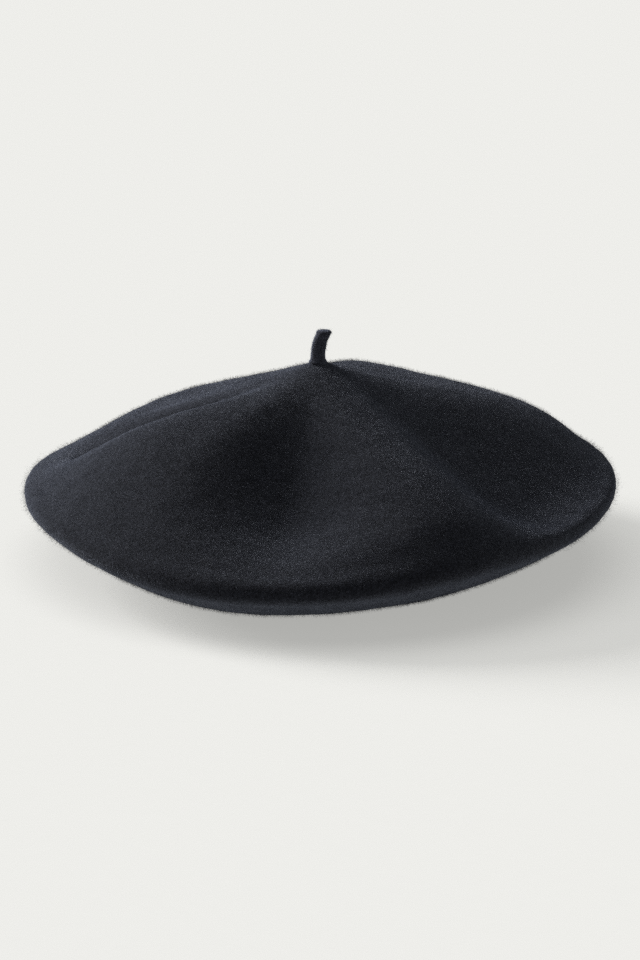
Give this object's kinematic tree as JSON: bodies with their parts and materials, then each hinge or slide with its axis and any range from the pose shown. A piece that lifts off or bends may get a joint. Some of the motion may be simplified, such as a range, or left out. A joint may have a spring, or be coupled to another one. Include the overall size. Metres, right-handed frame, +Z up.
{
  "type": "beret",
  "caption": "Soft wool felt beret with a short stem on its crown, a sweatband, an opening drawstring tied in a bow at the back, and blank labels inside.",
  "frame": {"origin": "centre of the head opening, on the plane that the hem rests on", "axes": "+Z up through the stem, +Y towards the back where the drawstring is tied, +X to the viewer's right when seen from the front"},
  "size_m": [0.28, 0.28, 0.1094],
  "materials": {
    "wool_felt": "matt fulled wool felt with a short fuzzy nap, midnight navy",
    "grosgrain": "ribbed ribbon, slight sheen, near black",
    "cord": "twisted cotton cord, matt, near black",
    "thread": "twisted polyester thread, slight sheen, dark navy",
    "satin": "woven satin, ivory, blank"
  },
  "bodies": {
    "hat": {"felt_body": "wool_felt", "stem_root": "wool_felt", "stem_anchor_stitches": "thread", "sweatband": "grosgrain", "hem_stitching": "thread", "casing_stitching": "thread", "band_tack_left": "thread", "band_tack_right": "thread", "drawstring": "cord", "woven_label": "satin", "woven_label_stitching": "thread", "care_label_tack": "thread"},
    "stem_foot": {"stem_lower": "wool_felt"},
    "stem_tip": {"stem_upper": "wool_felt"},
    "bow": {"drawstring_bow": "cord"},
    "care_tab": {"care_label": "satin"}
  },
  "joints": [
    {"name": "stem_lean_sideways", "type": "hinge", "parent": "hat", "child": "stem_foot", "pos_m": [0.0001, 0, 0.0982], "axis": [0, 1, 0], "range_deg": [-50, 50], "stiffness_Nm_per_rad": 0.002},
    {"name": "stem_bend_front_to_back", "type": "hinge", "parent": "stem_foot", "child": "stem_tip", "pos_m": [0.0007, 0, 0.1024], "axis": [1, 0, 0], "range_deg": [-60, 60], "stiffness_Nm_per_rad": 0.002},
    {"name": "bow_swing", "type": "hinge", "parent": "hat", "child": "bow", "pos_m": [0, 0.0716, 0.0047], "axis": [-1, 0, 0], "range_deg": [-30, 70]},
    {"name": "care_label_flip", "type": "hinge", "parent": "hat", "child": "care_tab", "pos_m": [0.04284, 0.06352, 0.0232], "axis": [-0.829, 0.5592, 0], "range_deg": [0, 140]}
  ]
}
